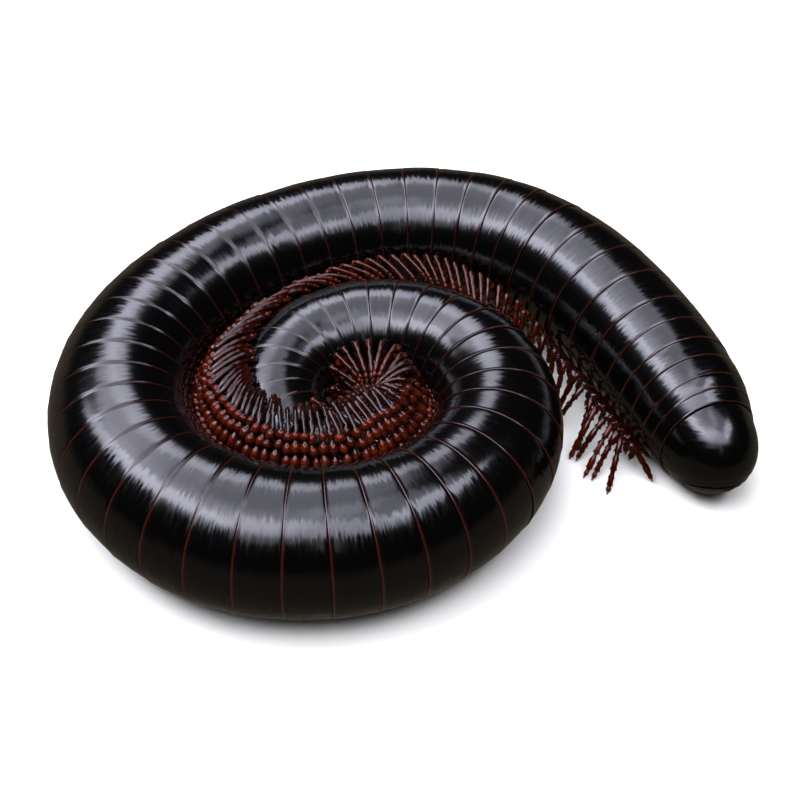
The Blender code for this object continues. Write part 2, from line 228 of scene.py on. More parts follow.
def remapped(node, value, start, stop, low, high, **settings):
    """The value's share of the way from start to stop, laid out from low to high."""
    ends = {"Value": value, "From Min": start, "From Max": stop, "To Min": low, "To Max": high}
    return node("ShaderNodeMapRange", ends, **settings).outputs["Result"]


def colour_steps(ramp, steps):
    """Sets a colour ramp's stops, each a place and a colour."""
    while len(ramp.elements) < len(steps):
        ramp.elements.new(0.5)
    for element, (place, colour) in zip(ramp.elements, steps):
        element.position = place
        element.color = (*colour, 1.0)


BLACK_CUTICLE = (0.0007, 0.00065, 0.0007)
EDGE_BROWN = (0.022, 0.0045, 0.0025)
FLOOR_DUST = (0.0045, 0.0038, 0.0027)
STREAKS_PER_MM = 4.6
STREAK_LENGTH_PER_MM = 0.55
STREAK_TILT = 0.44
STREAK_GLOSS = (0.11, 0.20)
DUST_FROM, DUST_TO = 4.0 * MM, 0.4 * MM


def shell_finish():
    """Black lacquer with a red-brown free edge. Fine streaks run round the body: a noise drawn out
    along v tilts the surface to and fro along v, in some places more than in others, and varies the
    gloss, and a finer one is a bump. A thin film of dust lies near the floor."""
    material, node, join = new_finish("black_cuticle", 0.27)
    place = node("ShaderNodeUVMap", uv_map="skin").outputs["UV"]
    stretched = node(
        "ShaderNodeMapping",
        {"Vector": place, "Scale": (STREAKS_PER_MM, STREAK_LENGTH_PER_MM, 1.0)},
    )
    streaks = node(
        "ShaderNodeTexNoise",
        {"Vector": stretched.outputs["Vector"], "Scale": 1.0, "Detail": 5.0, "Roughness": 0.62},
    ).outputs["Fac"]
    centred = maths(node, "SUBTRACT", streaks, 0.5)
    worn = node("ShaderNodeTexNoise", {"Vector": place, "Scale": 0.45, "Detail": 2.0}).outputs["Fac"]
    amount = remapped(node, worn, 0.35, 0.65, 0.25 * STREAK_TILT, STREAK_TILT)
    pull = maths(node, "MULTIPLY", centred, amount)
    facing = node("ShaderNodeNewGeometry").outputs["Normal"]
    round_body = node("ShaderNodeTangent", direction_type="UV_MAP", uv_map="skin").outputs["Tangent"]
    across = node("ShaderNodeVectorMath", {0: facing, 1: round_body}, operation="CROSS_PRODUCT")
    shift = node("ShaderNodeVectorMath", {0: across.outputs[0], "Scale": pull}, operation="SCALE")
    leant = node("ShaderNodeVectorMath", {0: facing, 1: shift.outputs[0]}, operation="ADD")
    leant = node("ShaderNodeVectorMath", {0: leant.outputs[0]}, operation="NORMALIZE").outputs[0]
    fine = node(
        "ShaderNodeTexNoise",
        {"Vector": stretched.outputs["Vector"], "Scale": 2.6, "Detail": 2.0, "Roughness": 0.5},
    ).outputs["Fac"]
    bump = node("ShaderNodeBump", {"Height": fine, "Normal": leant, "Strength": 0.06, "Distance": 0.02 * MM})
    join(bump.outputs["Normal"], "Normal")
    gloss = remapped(node, streaks, 0.3, 0.7, *STREAK_GLOSS)
    mark = node("ShaderNodeAttribute", attribute_name="mark").outputs["Fac"]
    body_place = node("ShaderNodeTexCoord").outputs["Object"]
    height = node("ShaderNodeSeparateXYZ", {0: body_place}).outputs["Z"]
    patches = node(
        "ShaderNodeTexNoise", {"Vector": body_place, "Scale": 420.0, "Detail": 4.0, "Roughness": 0.6}
    ).outputs["Fac"]
    low = remapped(node, height, DUST_FROM, DUST_TO, 0.0, 0.9)
    dusty = maths(node, "MULTIPLY", low, patches)
    film = node("ShaderNodeMix", {"Factor": dusty}, data_type="RGBA")
    film.inputs["A"].default_value = (*BLACK_CUTICLE, 1.0)
    film.inputs["B"].default_value = (*FLOOR_DUST, 1.0)
    edged = node("ShaderNodeMix", {"Factor": mark}, data_type="RGBA")
    edged.inputs["B"].default_value = (*EDGE_BROWN, 1.0)
    material.node_tree.links.new(film.outputs["Result"], edged.inputs["A"])
    join(edged.outputs["Result"], "Base Color")
    dull = maths(node, "MULTIPLY_ADD", dusty, 0.25, gloss)
    join(dull, "Roughness")
    return material


def ring_ends():
    """Distances from the tail at which the hoops end: the running sum of their lengths."""
    lengths = np.interp(np.arange(RING_COUNT), PITCH_RINGS, PITCH_LENGTHS) * MM
    return np.append(0.0, np.cumsum(lengths))


RING_ENDS = ring_ends()
TRUNK_LENGTH = RING_ENDS[-1]
shell_black = shell_finish()
ring_dice = np.random.default_rng(11)
ring_swell = ring_dice.normal(0.0, RADIUS_SPREAD, RING_COUNT) * MM
ring_phase = ring_dice.uniform(0.0, 2 * math.pi, (RING_COUNT, 2))
ring_tilt = ring_dice.uniform(-MOST_TILT, MOST_TILT, RING_COUNT)


def hoops(rings):
    """Points of closed hoops. The profile is carried round the body by the angle a from the belly line:
    point = middle(s) + (inward cos a + up sin a) (skin radius + height), and s itself waves a hair
    round each hoop. Sines of twice and three times the angle and a slight tilt make the hoops differ.
    The belly strip between the legs lies a little lower."""
    share, extra, height, brown, least = (np.array(column)[None, :, None] for column in zip(*RING_PROFILE))
    rear = RING_ENDS[rings][:, None, None]
    pitch = RING_ENDS[rings + 1][:, None, None] - rear
    turn = np.linspace(0.0, 2 * math.pi, RING_COLUMNS + 1)[None, None, :]
    scale = np.minimum(1.0, pitch / (2.4 * MM))
    wave = EDGE_WAVE * MM * np.sin(3 * turn + ring_phase[rings, 0][:, None, None])
    s = rear + share * pitch + extra * MM * scale + wave * (1.0 - share)
    angle = turn - belly_roll(s)
    middle, _, inward = body_frame(s)
    strip = np.exp(-((np.minimum(turn, 2 * math.pi - turn) / STRIP_HALF_ANGLE) ** 4))
    wide = girth(s) * SKIN_SHARE + (height - STRIP_DEPTH * strip) * MM + ring_swell[rings][:, None, None]
    uneven = OVAL_WAVE * np.sin(2 * turn + ring_phase[rings, 1][:, None, None])
    uneven = uneven + LOBE_WAVE * np.sin(3 * turn + 2 * ring_phase[rings, 0][:, None, None])
    wide = wide + uneven * (1.0 - 0.6 * (2.0 * share - 1.0) ** 2) * MM
    wide = wide + ring_tilt[rings][:, None, None] * (share - 0.5) * pitch
    points = middle + inward * (wide * np.cos(angle))[..., None]
    points[..., 2] = np.maximum(middle[..., 2] + wide * np.sin(angle), least * MM)
    marks = np.broadcast_to(brown, wide.shape)
    u = (share * pitch / MM + extra * scale + rings[:, None, None] * 6.7) + 0 * turn
    v = turn * girth(rear) / MM + 0 * u
    spread = np.stack([u, v], axis=-1)
    return points[:, :, :-1], marks[:, :, :-1], np.concatenate([spread, spread[:, :1]], axis=1)


for number in range(RING_COUNT // RINGS_PER_LENGTH):
    node_name = f"body_{RING_COUNT // RINGS_PER_LENGTH - number:02d}"
    grid, marks, spread = hoops(np.arange(RINGS_PER_LENGTH) + number * RINGS_PER_LENGTH)
    hoop_piece = piece_from_grids("rings_" + node_name[-2:], grid, shell_black, True, marks, spread)
    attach(hoop_piece, "root")
    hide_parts(node_name)

# The walking legs, two pairs on nearly every ring: chains of bead-like joints of mahogany
# cuticle that grow from the belly strip, each with a claw, the free ones with short spines. The
# upper row folds up over the next turn of the coil, and the lower row is tucked beneath it.
POSE_STATIONS = (
    0, 10, 15, 20, 24, 28, 31, 35, 43, 49, 55, 60, 66, 72, 80, 90, 100, 105, 110, 115, 120, 126, 131, 138, 143, 148
)
KNEE_OUT = (
    0.7, 0.7, 0.8, 0.8, 0.8, 0.7, 0.7, 0.6, 0.6, 0.7, 1.0, 1.2, 1.2, 1.6, 2.4, 2.5, 2.5, 2.6, 2.7, 2.6, 1.9, 0.8,
    -0.4, -0.9, -0.5, -0.2
)
KNEE_HEIGHT = (
    -1.8, -1.6, -0.8, 0.6, 1.0, 1.5, 1.9, 2.4, 2.5, 2.4, 2.5, 2.6, 2.7, 2.9, 3.2, 3.2, 3.2, 3.3, 3.4, 3.4, 3.4, 3.6,
    3.5, 3.0, 3.0, 0.5
)
TIP_REACH = (
    3.8, 3.8, 3.2, 2.4, 2.6, 2.7, 2.7, 2.7, 2.7, 2.7, 2.9, 3.4, 3.7, 3.4, 3.0, 3.2, 3.2, 3.2, 2.9, 2.1, 2.5, 3.1,
    3.0, 3.2, 2.9, 1.5
)
TIP_HEIGHT = (
    -4.9, -4.9, -4.6, -2.2, -1.0, 0.1, 0.6, 1.2, 1.6, 1.9, 2.2, 2.4, 2.6, 2.8, 3.1, 3.1, 3.2, 3.2, 3.3, 3.2, 3.0,
    3.0, 2.3, 1.9, 1.8, 0.0
)
LEG_LEAN = (
    24, 29, 34, 40, 34, 30, 28, 28, 44, 58, 68, 70, 56, 40, 35, 19, 3, -2, -20, -16, 0, -2, -7, -3, -9, 0
)
LOOK_STATIONS = (0, 15, 20, 31, 43, 49, 59, 69, 81, 90, 101, 114, 126, 148)
LEG_ARCH = (0.3, 0.3, 0.1, 0.1, 0.2, 0.3, 0.4, 0.45, 0.40, 0.40, 0.35, 0.35, 0.3, 0.2)
BEAD_RADIUS = (0.26, 0.25, 0.22, 0.2, 0.24, 0.30, 0.38, 0.42, 0.42, 0.40, 0.39, 0.37, 0.30, 0.24)
ROD_RADIUS = (0.26, 0.25, 0.22, 0.20, 0.20, 0.22, 0.24, 0.25, 0.23, 0.22, 0.21, 0.23, 0.25, 0.19)
ROD_PLAIN = (0.7, 0.7, 1.0, 1.0, 0.9, 0.9, 0.8, 0.8, 0.9, 0.9, 0.9, 0.8, 0.8, 0.7)
ROD_DARK = (0.44, 0.48, 0.54, 0.47, 0.44, 0.42, 0.48, 0.54, 0.66, 0.74, 0.74, 0.60, 0.46, 0.5)
BEAD_DARK = (0.35, 0.35, 0.2, 0.08, 0.12, 0.22, 0.25, 0.24, 0.28, 0.32, 0.32, 0.30, 0.28, 0.3)
VALLEY_STATIONS = (96.0, 101.0, 112.0, 117.0)
VALLEY_DEPTHS = (1.0, 0.05, 0.05, 1.0)
HOLE_FROM, HOLE_TO = 110.0, 117.0
TUCK_DEPTH = 1.6
BELLY_SPOTS = ((7.0, -0.9), (8.5, 0.05))
BELLY_SPOTS_LOWER = ((-7.0, -0.9), (-8.5, 0.05), (-15.0, 0.42))
BEAD_PLACES = (0.12, 0.42, 0.72)
ROD_PLACES = (0.32, 0.66, 0.88, 1.0)
VALLEY_JOINTS = ((0.34, 0.6), (0.42, 1.4), (0.50, 2.2), (0.58, 2.9), (0.70, 3.4))
CLAW_LENGTH = 0.30 * MM
LEG_FLOOR = 0.25 * MM
LEG_COLUMNS = 10
LOOSE_FROM, LOOSE_TO = 19.0, 13.0
HINDMOST_TO, HINDMOST_LEAN = 3.0, 94.0
UP = np.array([0.0, 0.0, 1.0])
coil_guard = coil_girth * SKIN_SHARE + 0.03 * MM


def by_station(table, s):
    """A row of the leg tables, read at s. Rows about the pose have more stations than those about looks."""
    stations = POSE_STATIONS if len(table) == len(POSE_STATIONS) else LOOK_STATIONS
    return np.interp(s / MM, stations, table)


def unit(ways):
    """Each way divided by its length."""
    return ways / np.linalg.norm(ways, axis=-1, keepdims=True)


def clear_of_turns(points, need):
    """Moves points straight out of the nearest turn of the body until they keep the needed distance."""
    places = points.reshape(-1, 3).copy()
    gaps = np.broadcast_to(need, points.shape[:-1]).reshape(-1)
    for _ in range(14):
        away = places[:, None, :] - coil_points[None, :, :]
        far = np.linalg.norm(away, axis=2)
        room = far - coil_guard[None, :] - gaps[:, None]
        nearest = np.argmin(room, axis=1)
        pick = np.arange(len(places))
        push = np.maximum(0.0, -room[pick, nearest]) / far[pick, nearest]
        places += away[pick, nearest] * push[:, None]
        places[:, 2] = np.maximum(places[:, 2], LEG_FLOOR)
    return places.reshape(points.shape)


def belly_points(s, spots):
    """Points in or on the belly skin. A spot is an angle above the belly line and a height over the
    skin in millimetres, carried round the body as in the hoops."""
    middle, _, inward = body_frame(s)
    points = []
    for degrees, out in spots:
        turned = math.radians(degrees) - belly_roll(s)
        reach = girth(s) + out * MM
        points.append(middle + inward * (reach * np.cos(turned))[:, None] + UP * (reach * np.sin(turned))[:, None])
    return points


def upper_joints(s, dice):
    """Joints of the upper row: root and base on the belly, three bead joints on a low arch to the knee,
    and four more on an arch from knee to tip. Arch: a straight line plus a rise that is the sine of the
    way along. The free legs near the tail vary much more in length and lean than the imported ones, the
    hindmost is stretched back, and in the middle of the coil every second leg is tucked under its
    neighbours."""
    middle, ahead, inward = body_frame(s)
    wide = girth(s)
    loose = np.clip((LOOSE_FROM - s / MM) / (LOOSE_FROM - LOOSE_TO), 0.0, 1.0)
    odd = np.arange(len(s)) % 2
    tuck = odd * TUCK_DEPTH * np.interp(s / MM, (HOLE_FROM, HOLE_TO), (0.0, 1.0))
    joints = belly_points(s, BELLY_SPOTS)
    base = joints[-1]
    knee_out = by_station(KNEE_OUT, s) + dice.normal(0.0, 0.10, len(s)) + (odd - 0.5) * 0.16
    knee_high = by_station(KNEE_HEIGHT, s) - tuck + dice.normal(0.0, 0.10, len(s))
    knee = middle + inward * (wide + knee_out * MM)[:, None] + UP * (knee_high * MM)[:, None]
    for share in BEAD_PLACES:
        along = share + dice.normal(0.0, 0.035, (len(s), 1))
        aside = ahead * dice.normal(0.0, 0.09, (len(s), 1)) * MM
        joints.append(base + (knee - base) * along + UP * 0.22 * MM * math.sin(math.pi * share) + aside)
    joints.append(knee + ahead * dice.normal(0.0, 0.05, (len(s), 1)) * MM)
    bunch = 1.5 * np.sin(2 * math.pi * s / (5.3 * MM))
    lean = np.radians(by_station(LEG_LEAN, s) + bunch + dice.normal(0.0, 2.6, len(s)) * (1.0 + 4.0 * loose))
    lean = lean + np.radians(HINDMOST_LEAN) * (s < HINDMOST_TO * MM)
    side = inward * np.cos(lean)[:, None] - ahead * np.sin(lean)[:, None]
    length = 1.0 - loose * dice.uniform(0.0, 0.5, len(s))
    reach = (by_station(TIP_REACH, s) * length + dice.normal(0.0, 0.20, len(s))) * MM
    drop = (by_station(TIP_HEIGHT, s) - tuck - knee_high) * (1.0 - 0.5 * (1.0 - length)) * MM
    arch = by_station(LEG_ARCH, s) * MM
    for share in ROD_PLACES:
        rise = drop * share + arch * math.sin(math.pi * share)
        joints.append(knee + side * (reach * share)[:, None] + UP * rise[:, None])
    return np.stack(joints, axis=1)


def lower_joints(s, dice):
    """Joints of the lower row: root and base under the belly line, then down into the valley, each
    joint further from the own flank so that the row closes the gap toward the next turn. Where two turns
    nearly touch, the row stays high in the notch between them."""
    middle, ahead, inward = body_frame(s)
    wide = girth(s)
    joints = belly_points(s, BELLY_SPOTS_LOWER)
    packed = np.interp(s / MM, (20.0, 40.0), (0.0, 1.0))
    deep = np.interp(s / MM, VALLEY_STATIONS, VALLEY_DEPTHS)
    for share, out in VALLEY_JOINTS:
        reach = wide * 0.97 + ((0.4 + (out - 0.4) * packed) + dice.normal(0.0, 0.08, len(s))) * MM
        aside = ahead * dice.normal(0.0, 0.10, (len(s), 1)) * MM
        joints.append(middle + inward * reach[:, None] - UP * (wide * share * deep)[:, None] + aside)
    return np.stack(joints, axis=1)


BEAD_STATIONS = (0.05, 0.22, 0.5, 0.78, 0.95)
BEAD_SWELL = (0.5, 0.90, 1.0, 0.90, 0.5)
ROD_SWELL = (0.86, 0.97, 1.0, 0.98, 0.88)


def limb_tubes(joints, radii, ahead, dark, rows=BEAD_STATIONS, swell=BEAD_SWELL, columns=LEG_COLUMNS):
    """Tubes through chains of joints. In each straight piece the radius swells and narrows as a bead;
    a cross-section is centre + radius (top cos b - side sin b), square to that piece. The mark grows
    toward the waist of a bead, as painted shade between the beads, and falls toward the tube's
    underside, as a painted glow of light through the cuticle there."""
    way = joints[:, 1:] - joints[:, :-1]
    long = np.linalg.norm(way, axis=2, keepdims=True)
    way = way / np.maximum(long, 1e-7)
    top = np.cross(np.broadcast_to(ahead[:, None, :], way.shape), way)
    top = top / np.maximum(np.linalg.norm(top, axis=2, keepdims=True), 1e-7)
    side = np.cross(way, top)
    t = np.array(rows)[None, None, :, None]
    centre = joints[:, :-1, None, :] + (way * long)[:, :, None, :] * t
    swell = np.broadcast_to(swell, (*radii.shape, len(rows)))
    radius = radii[:, :, None] * swell
    turn = np.arange(columns) * 2 * math.pi / columns
    spoke = (
        top[:, :, None, None, :] * np.cos(turn)[None, None, None, :, None]
        - side[:, :, None, None, :] * np.sin(turn)[None, None, None, :, None]
    )
    grid = centre[:, :, :, None, :] + spoke * radius[:, :, :, None, None]
    grid[..., 2] = np.maximum(grid[..., 2], 0.01 * MM)
    count, pieces = radii.shape
    # Painted light: the mark is raised at the bead waists as painted shade and lowered on the underside as a
    # painted glow of light through the cuticle.
    under = 0.5 - 0.5 * np.cos(turn)[None, None, None, :]
    marks = dark[:, :, None, None] * (1.0 - 0.25 * under) + 0.75 * (1.0 - swell[..., None])
    shape = (count, pieces * len(rows), columns)
    return grid.reshape(*shape, 3), marks.reshape(shape)


def leg_finish():
    """Mahogany cuticle whose colour follows the mark from orange-brown to black, with small mottles.
    Its gleam is warm on the light beads and nearly white on the dark rods."""
    material, node, join = new_finish("mahogany_cuticle", 0.055)
    shader = material.node_tree.nodes["Principled BSDF"]
    shader.inputs["Specular IOR Level"].default_value = 0.38
    mark = node("ShaderNodeAttribute", attribute_name="mark").outputs["Fac"]
    place = node("ShaderNodeTexCoord").outputs["Object"]
    mottle = node("ShaderNodeTexNoise", {"Vector": place, "Scale": 1500.0, "Detail": 3.0}).outputs["Fac"]
    moved = maths(node, "MULTIPLY_ADD", mottle, 0.22, -0.11)
    tone = maths(node, "ADD", mark, moved)
    ramp = node("ShaderNodeValToRGB", {"Fac": tone})
    steps = ((0.0, (0.19, 0.040, 0.0035)), (0.25, (0.050, 0.0050, 0.0007)), (0.45, (0.019, 0.0016, 0.0005)))
    colour_steps(ramp.color_ramp, steps + ((0.68, (0.0090, 0.0012, 0.0007)), (1.0, (0.0015, 0.0007, 0.0006))))
    join(ramp.outputs["Color"], "Base Color")
    gleam = node("ShaderNodeValToRGB", {"Fac": mark})
    tints = ((0.25, (1.0, 0.40, 0.30)), (0.5, (1.0, 0.74, 0.68)), (0.72, (1.0, 0.94, 0.94)))
    colour_steps(gleam.color_ramp, tints)
    join(gleam.outputs["Color"], "Specular Tint")
    pits = node("ShaderNodeTexNoise", {"Vector": place, "Scale": 4200.0, "Detail": 1.5}).outputs["Fac"]
    bump = node("ShaderNodeBump", {"Height": pits, "Strength": 0.16, "Distance": 0.05 * MM})
    join(bump.outputs["Normal"], "Normal")
    return material


leg_mahogany = leg_finish()
leg_dice = np.random.default_rng(23)
LOWER_PIECES = (0, 1, 2, 3, 4, 4, 4)


def leg_places(first, last):
    """Places of the leg pairs: two a ring, one a ring just behind the head, none on the last two."""
    rings = np.arange(max(first, 2), min(last, RING_COUNT - 1))
    pitch = RING_ENDS[rings + 1] - RING_ENDS[rings]
    single = rings >= RING_COUNT - 4
    shares = np.where(single[:, None], [[0.5, np.nan]], [[0.27, 0.77]])
    places = (RING_ENDS[rings][:, None] + pitch[:, None] * shares).ravel()
    return places[~np.isnan(places)]


CLAW_RADII, CLAW_FLOOR, CLAW_SHADE = (0.12 * MM, 0.085 * MM), 0.13 * MM, 0.02


def claw_tubes(joints, ahead):
    """Claws: a short straight piece on from each leg's tip and one that bends down from it."""
    tip = joints[:, -1]
    way = unit(tip - joints[:, -2])
    bent = unit(way - UP * 0.5)
    hook = np.stack([tip - way * 0.1 * MM, tip + way * CLAW_LENGTH * 0.5], axis=1)
    hook = np.concatenate([hook, (hook[:, 1] + bent * CLAW_LENGTH * 0.6)[:, None]], axis=1)
    hook[..., 2] = np.maximum(hook[..., 2], CLAW_FLOOR)
    radii = np.tile([CLAW_RADII], (len(tip), 1))
    return limb_tubes(hook, radii, ahead, np.full((len(tip), 2), CLAW_SHADE), (0.0, 0.9), (1.0, 0.5), 5)


SPINE_LENGTH, SPINE_RADIUS, SPINE_SINK, SPINE_FLOOR = 0.42 * MM, 0.14 * MM, 0.12 * MM, 0.1 * MM
SPINE_PLACES, SPINE_SHADE = (0.15, 0.65), 0.5


def spine_cones(joints):
    """Spines: two places on each outer piece of a leg, one cone to each side there. A cone runs from
    beside the middle line, as much along the leg as out from it."""
    start, way = joints[:, 2:-2], joints[:, 3:-1] - joints[:, 2:-2]
    knots = np.concatenate([start + way * share for share in SPINE_PLACES], axis=1).repeat(2, axis=1)
    along = unit(np.concatenate([way, way], axis=1).repeat(2, axis=1))
    outward = np.cross(along, UP) * np.tile([1.0, -1.0], knots.shape[1] // 2)[None, :, None]
    start = knots + outward * SPINE_SINK
    end = start + (along * 0.7 + outward * 0.7) * SPINE_LENGTH
    spines = np.stack([start, end], axis=2).reshape(-1, 2, 3)
    spines[..., 2] = np.maximum(spines[..., 2], SPINE_FLOOR)
    one = np.ones((len(spines), 1))
    build = (one * SPINE_RADIUS, one * UP, one * SPINE_SHADE)
    return limb_tubes(spines, *build, (0.0, 0.5, 1.0), (1.0, 0.6, 0.1), 5)


for number in range(RING_COUNT // RINGS_PER_LENGTH):
    node_name = f"body_{RING_COUNT // RINGS_PER_LENGTH - number:02d}"
    s = leg_places(number * RINGS_PER_LENGTH, (number + 1) * RINGS_PER_LENGTH)
    _, ahead, inward = body_frame(s)
    count = len(s)
    bead, rod, plain = (by_station(table, s) for table in (BEAD_RADIUS, ROD_RADIUS, ROD_PLAIN))
    tone = leg_dice.normal(0.0, 0.05, count)
    bead_dark, rod_dark = by_station(BEAD_DARK, s) + tone, by_station(ROD_DARK, s) + tone
    beads = [bead, bead * 0.95, bead * 0.9, bead * 0.98, bead * 1.0]
    radii = np.stack(beads + [rod * 1.06, rod, rod * 0.96, rod * 0.86], axis=1)
    radii = radii * (1.0 + leg_dice.normal(0.0, 0.10, radii.shape)) * MM
    dark = np.stack([bead_dark] * 5 + [rod_dark, rod_dark, rod_dark * 0.85, rod_dark * 0.6], axis=1)
    swell = np.empty((count, 9, len(BEAD_SWELL)))
    swell[:, :5] = BEAD_SWELL
    swell[:, 5:] = np.array(BEAD_SWELL) + plain[:, None, None] * (np.array(ROD_SWELL) - BEAD_SWELL)
    for row, route in (("upper", upper_joints), ("lower", lower_joints)):
        joints = route(s, leg_dice)
        pieces = joints.shape[1] - 1
        thick = radii if row == "upper" else radii[:, LOWER_PIECES]
        need = np.concatenate([thick[:, :1], thick], axis=1) + 0.02 * MM
        joints[:, 2:] = clear_of_turns(joints[:, 2:], need[:, 2:])
        grid, marks = limb_tubes(joints, thick, ahead, dark[:, :pieces], swell=swell[:, :pieces])
        parts_here = [("legs", grid, marks), ("claws", *claw_tubes(joints, ahead))]
        free = s < LOOSE_FROM * MM
        if free.any() and row == "upper":
            parts_here.append(("spines", *spine_cones(joints[free])))
        for kind, grid, marks in parts_here:
            piece = piece_from_grids(f"{kind}_{row}_{node_name[-2:]}", grid, leg_mahogany, marks=marks)
            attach(piece, "root")
            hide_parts(node_name)

# The tail end. The last ring is a smooth half egg of the same black cuticle, open below and
# behind with a rolled lip. Two domed valves with raised rims fill that opening and meet in
# the animal's middle plane. They hinge on the ring's inside and keep a hairline slit.
DOME_LENGTH = 4.70
DOME_RADIUS = 4.09
VALVE_TILT = math.radians(58.0)
RIM_FLAT = 3.02
DOME_ROWS, DOME_COLUMNS = 44, 132
# Shares of the dome's radius: at its back, lost under the last hoop, gained just behind it.
DOME_SHARE, HOOP_TUCK, HOOP_FLARE = 0.935, 0.055, 0.065
tail_end, tail_ahead, tail_inward = (row[0] for row in body_frame(np.array([0.0])))
tail_roll = math.radians(ROLL_ANGLES[0])
belly = tail_inward * math.cos(tail_roll) - UP * math.sin(tail_roll)
flank = tail_inward * math.sin(tail_roll) + UP * math.cos(tail_roll)
egg_depth = math.hypot(DOME_LENGTH * math.cos(VALVE_TILT), DOME_RADIUS * math.sin(VALVE_TILT))
egg_turn = math.atan2(DOME_RADIUS * math.sin(VALVE_TILT), DOME_LENGTH * math.cos(VALVE_TILT))
rim_angle = math.acos(RIM_FLAT / egg_depth)


def egg_point(polar, azimuth, swell):
    """Place on the half egg: a unit ball's point at the polar angle from the valves' middle, stretched
    by the length along the tail axis and by the radius across it, and swollen by a share."""
    out = np.sin(polar)
    back = math.cos(egg_turn) * np.cos(polar) + math.sin(egg_turn) * np.cos(azimuth) * out
    down = math.sin(egg_turn) * np.cos(polar) - math.cos(egg_turn) * np.cos(azimuth) * out
    aside = np.sin(azimuth) * out
    far = back * DOME_LENGTH
    tuck = DOME_SHARE - HOOP_TUCK / (1.0 + np.exp((far + 0.12) / 0.08))
    tuck = tuck + HOOP_FLARE * np.exp(-np.maximum(far, 0.0) / 0.9)
    place = tail_end - tail_ahead * (DOME_LENGTH * MM * back * swell)[..., None]
    place = place + belly * (DOME_RADIUS * MM * down * swell * tuck)[..., None]
    place = place + flank * (DOME_RADIUS * MM * aside * swell * tuck)[..., None]
    place[..., 2] = np.maximum(place[..., 2], 0.0)
    return place


def tail_dome():
    """The egg's skin from just under the last hoop to the lip. The start of each column is where the
    way to the tail comes to a small negative number: atan2 of its two shares plus an arc cosine."""
    azimuth = np.linspace(0.0, 2 * math.pi, DOME_COLUMNS + 1)[None, :]
    along, across = math.cos(egg_turn), math.sin(egg_turn) * np.cos(azimuth)
    far = np.arctan2(across, along) + np.arccos(-0.08 / np.hypot(along, across))
    far = np.maximum(far, rim_angle + 0.10)
    share = np.linspace(0.0, 1.0, DOME_ROWS)[:, None] ** 0.85
    outer = far + (rim_angle + 0.012 - far) * share
    lip_polar = np.array([0.004, -0.004, -0.008, -0.006, 0.004])[:, None] + rim_angle + 0 * azimuth
    lip_swell = np.array([1.000, 0.994, 0.982, 0.965, 0.945])[:, None]
    polar = np.concatenate([outer, lip_polar, rim_angle + (far - rim_angle) * np.array([[0.15], [0.6], [1.0]])])
    rolled = np.exp(-(((outer - rim_angle) / 0.035) ** 2))
    outer_swell = 1.0 + 0.006 * rolled - 0.008 * np.exp(-(((outer - rim_angle - 0.12) / 0.05) ** 2))
    inner_swell = np.array([0.90, 0.86, 0.88])[:, None]
    swell = np.concatenate([outer_swell, lip_swell + 0 * azimuth, inner_swell + 0 * azimuth])
    points = egg_point(polar, azimuth + 0 * polar, swell)
    lip_marks, inner_marks = np.full((5, DOME_COLUMNS + 1), 0.7), np.zeros((3, DOME_COLUMNS + 1))
    marks = np.concatenate([0.8 * rolled**4, lip_marks, inner_marks])
    spread = np.stack([31.0 - 4.0 * polar, 4.0 * azimuth + 0 * polar], axis=-1)[None]
    return points[None, :, :-1], marks[None, :, :-1], np.concatenate([spread, spread[:, :1]], axis=1)


grid, marks, spread = tail_dome()
telson = piece_from_grids("tail_ring", grid, shell_black, True, marks, spread)
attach(telson, "root")
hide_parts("telson")

VALVE_SIZES = (0.90, 0.97, 1.0, 1.0, 0.985, 0.95, 0.90, 0.84, 0.76, 0.64, 0.50, 0.35, 0.20, 0.07)
VALVE_RISES = (-200, -190, -150, -90, -45, -10, 4, -4, -6, 2, 10, 15, 18, 18)


def valve(sign):
    """Half of the cap inside the lip. Its D outline, an arc closed by a line beside the slit, shrinks
    row by row to the D's own middle, and its rise over the egg, in thousandths, follows the row: sunk, rim,
    hollow, bulge."""
    span = math.sin(rim_angle - 0.075)
    turn = np.concatenate([np.linspace(0.0, math.pi, 41), np.full(15, math.pi)])[None, :]
    line = np.concatenate([np.ones(41), np.linspace(-1.0, 1.0, 17)[1:-1]])[None, :]
    on_arc = (np.arange(56) < 41)[None, :]
    x = np.where(on_arc, np.cos(turn), line) * span
    y = np.where(on_arc, np.sin(turn) * span, 0.0)
    size = np.array(VALVE_SIZES)[:, None]
    rise = np.array(VALVE_RISES) / 1000.0
    x = x * size
    y = 0.42 * span + (y - 0.42 * span) * size + 0.012
    polar = np.arcsin(np.minimum(np.hypot(x, y), 0.98))
    azimuth = np.arctan2(sign * y, x)
    return egg_point(polar, azimuth, 1.0 + rise[:, None] + 0 * polar)[None]


for side, sign in (("left", 1.0), ("right", -1.0)):
    grid = valve(sign)
    flat = np.zeros((1, grid.shape[1], grid.shape[2] + 1, 2))
    flat[..., 0] = np.linspace(50.0, 52.0, grid.shape[1])[None, :, None]
    flat[..., 1] = np.linspace(0.0, 12.0, grid.shape[2] + 1)[None, None, :]
    grid = grid if sign > 0 else grid[:, :, ::-1]
    cap = piece_from_grids("anal_valve_cap_" + side, grid, shell_black, False, np.zeros(grid.shape[:3]), flat)
    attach(cap, "root")
    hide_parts("anal_valve_" + side)

